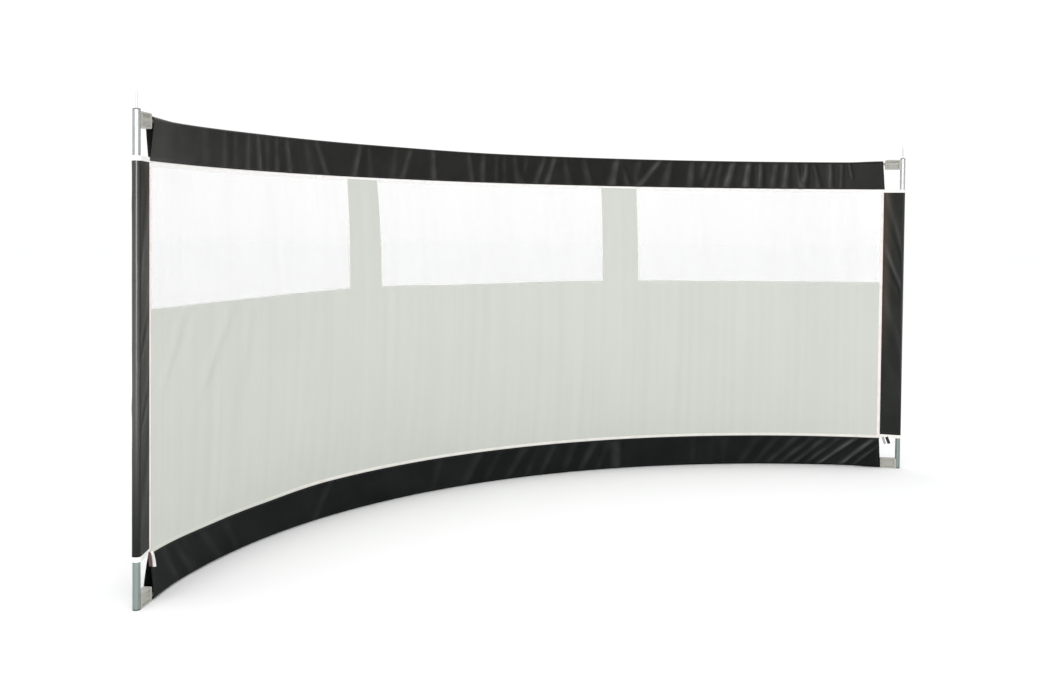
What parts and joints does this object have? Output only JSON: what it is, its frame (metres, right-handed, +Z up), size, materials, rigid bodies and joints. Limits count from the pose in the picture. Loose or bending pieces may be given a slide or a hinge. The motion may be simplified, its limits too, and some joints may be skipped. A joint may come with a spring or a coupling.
{
  "type": "beach windbreak",
  "caption": "Free-standing bowed fabric windbreak between upright poles, with clear windows above a grey panel and black rod tunnels along the top and the hem.",
  "frame": {"origin": "on the ground, midway between the poles and midway between the front of the pole sleeves' tapes and the back of the bow", "axes": "+Z up, +X along the line of the poles to the right as seen from the hollow side, +Y from the hollow side to the back of the bow"},
  "size_m": [3.4674, 0.8088, 1.452],
  "materials": {
    "steel_tube": "bright plated tube",
    "plug_plastic": "moulded plug, dark grey",
    "pin_steel": "plated pin",
    "bracket_plastic": "moulded, light grey",
    "rod_fibre": "glass fibre rod",
    "black_fabric": "coated woven fabric with a slight sheen",
    "grey_fabric": "woven fabric, pale grey",
    "clear_film": "clear window film",
    "white_tape": "woven binding tape",
    "black_tape": "woven tape"
  },
  "bodies": {
    "root": {"left_pole": "steel_tube", "right_pole": "steel_tube", "left_cap": "plug_plastic", "right_cap": "plug_plastic", "left_foot": "plug_plastic", "right_foot": "plug_plastic", "left_guy_pin": "pin_steel", "right_guy_pin": "pin_steel", "left_top_bracket": "bracket_plastic", "left_hem_bracket": "bracket_plastic", "right_top_bracket": "bracket_plastic", "right_hem_bracket": "bracket_plastic", "top_rod": "rod_fibre", "hem_rod": "rod_fibre", "top_sleeve": "black_fabric", "hem_sleeve": "black_fabric", "left_side_sleeve": "black_fabric", "right_side_sleeve": "black_fabric", "lower_panel": "grey_fabric", "left_mullion": "grey_fabric", "right_mullion": "grey_fabric", "left_window": "clear_film", "middle_window": "clear_film", "right_window": "clear_film", "top_binding": "white_tape", "hem_binding": "white_tape", "left_binding": "white_tape", "right_binding": "white_tape", "left_top_trim": "white_tape", "left_low_trim": "white_tape", "right_top_trim": "white_tape", "right_low_trim": "white_tape", "left_white_tail": "white_tape", "right_white_tail": "white_tape", "left_black_tail": "black_tape", "right_black_tail": "black_tape"}
  },
  "joints": []
}
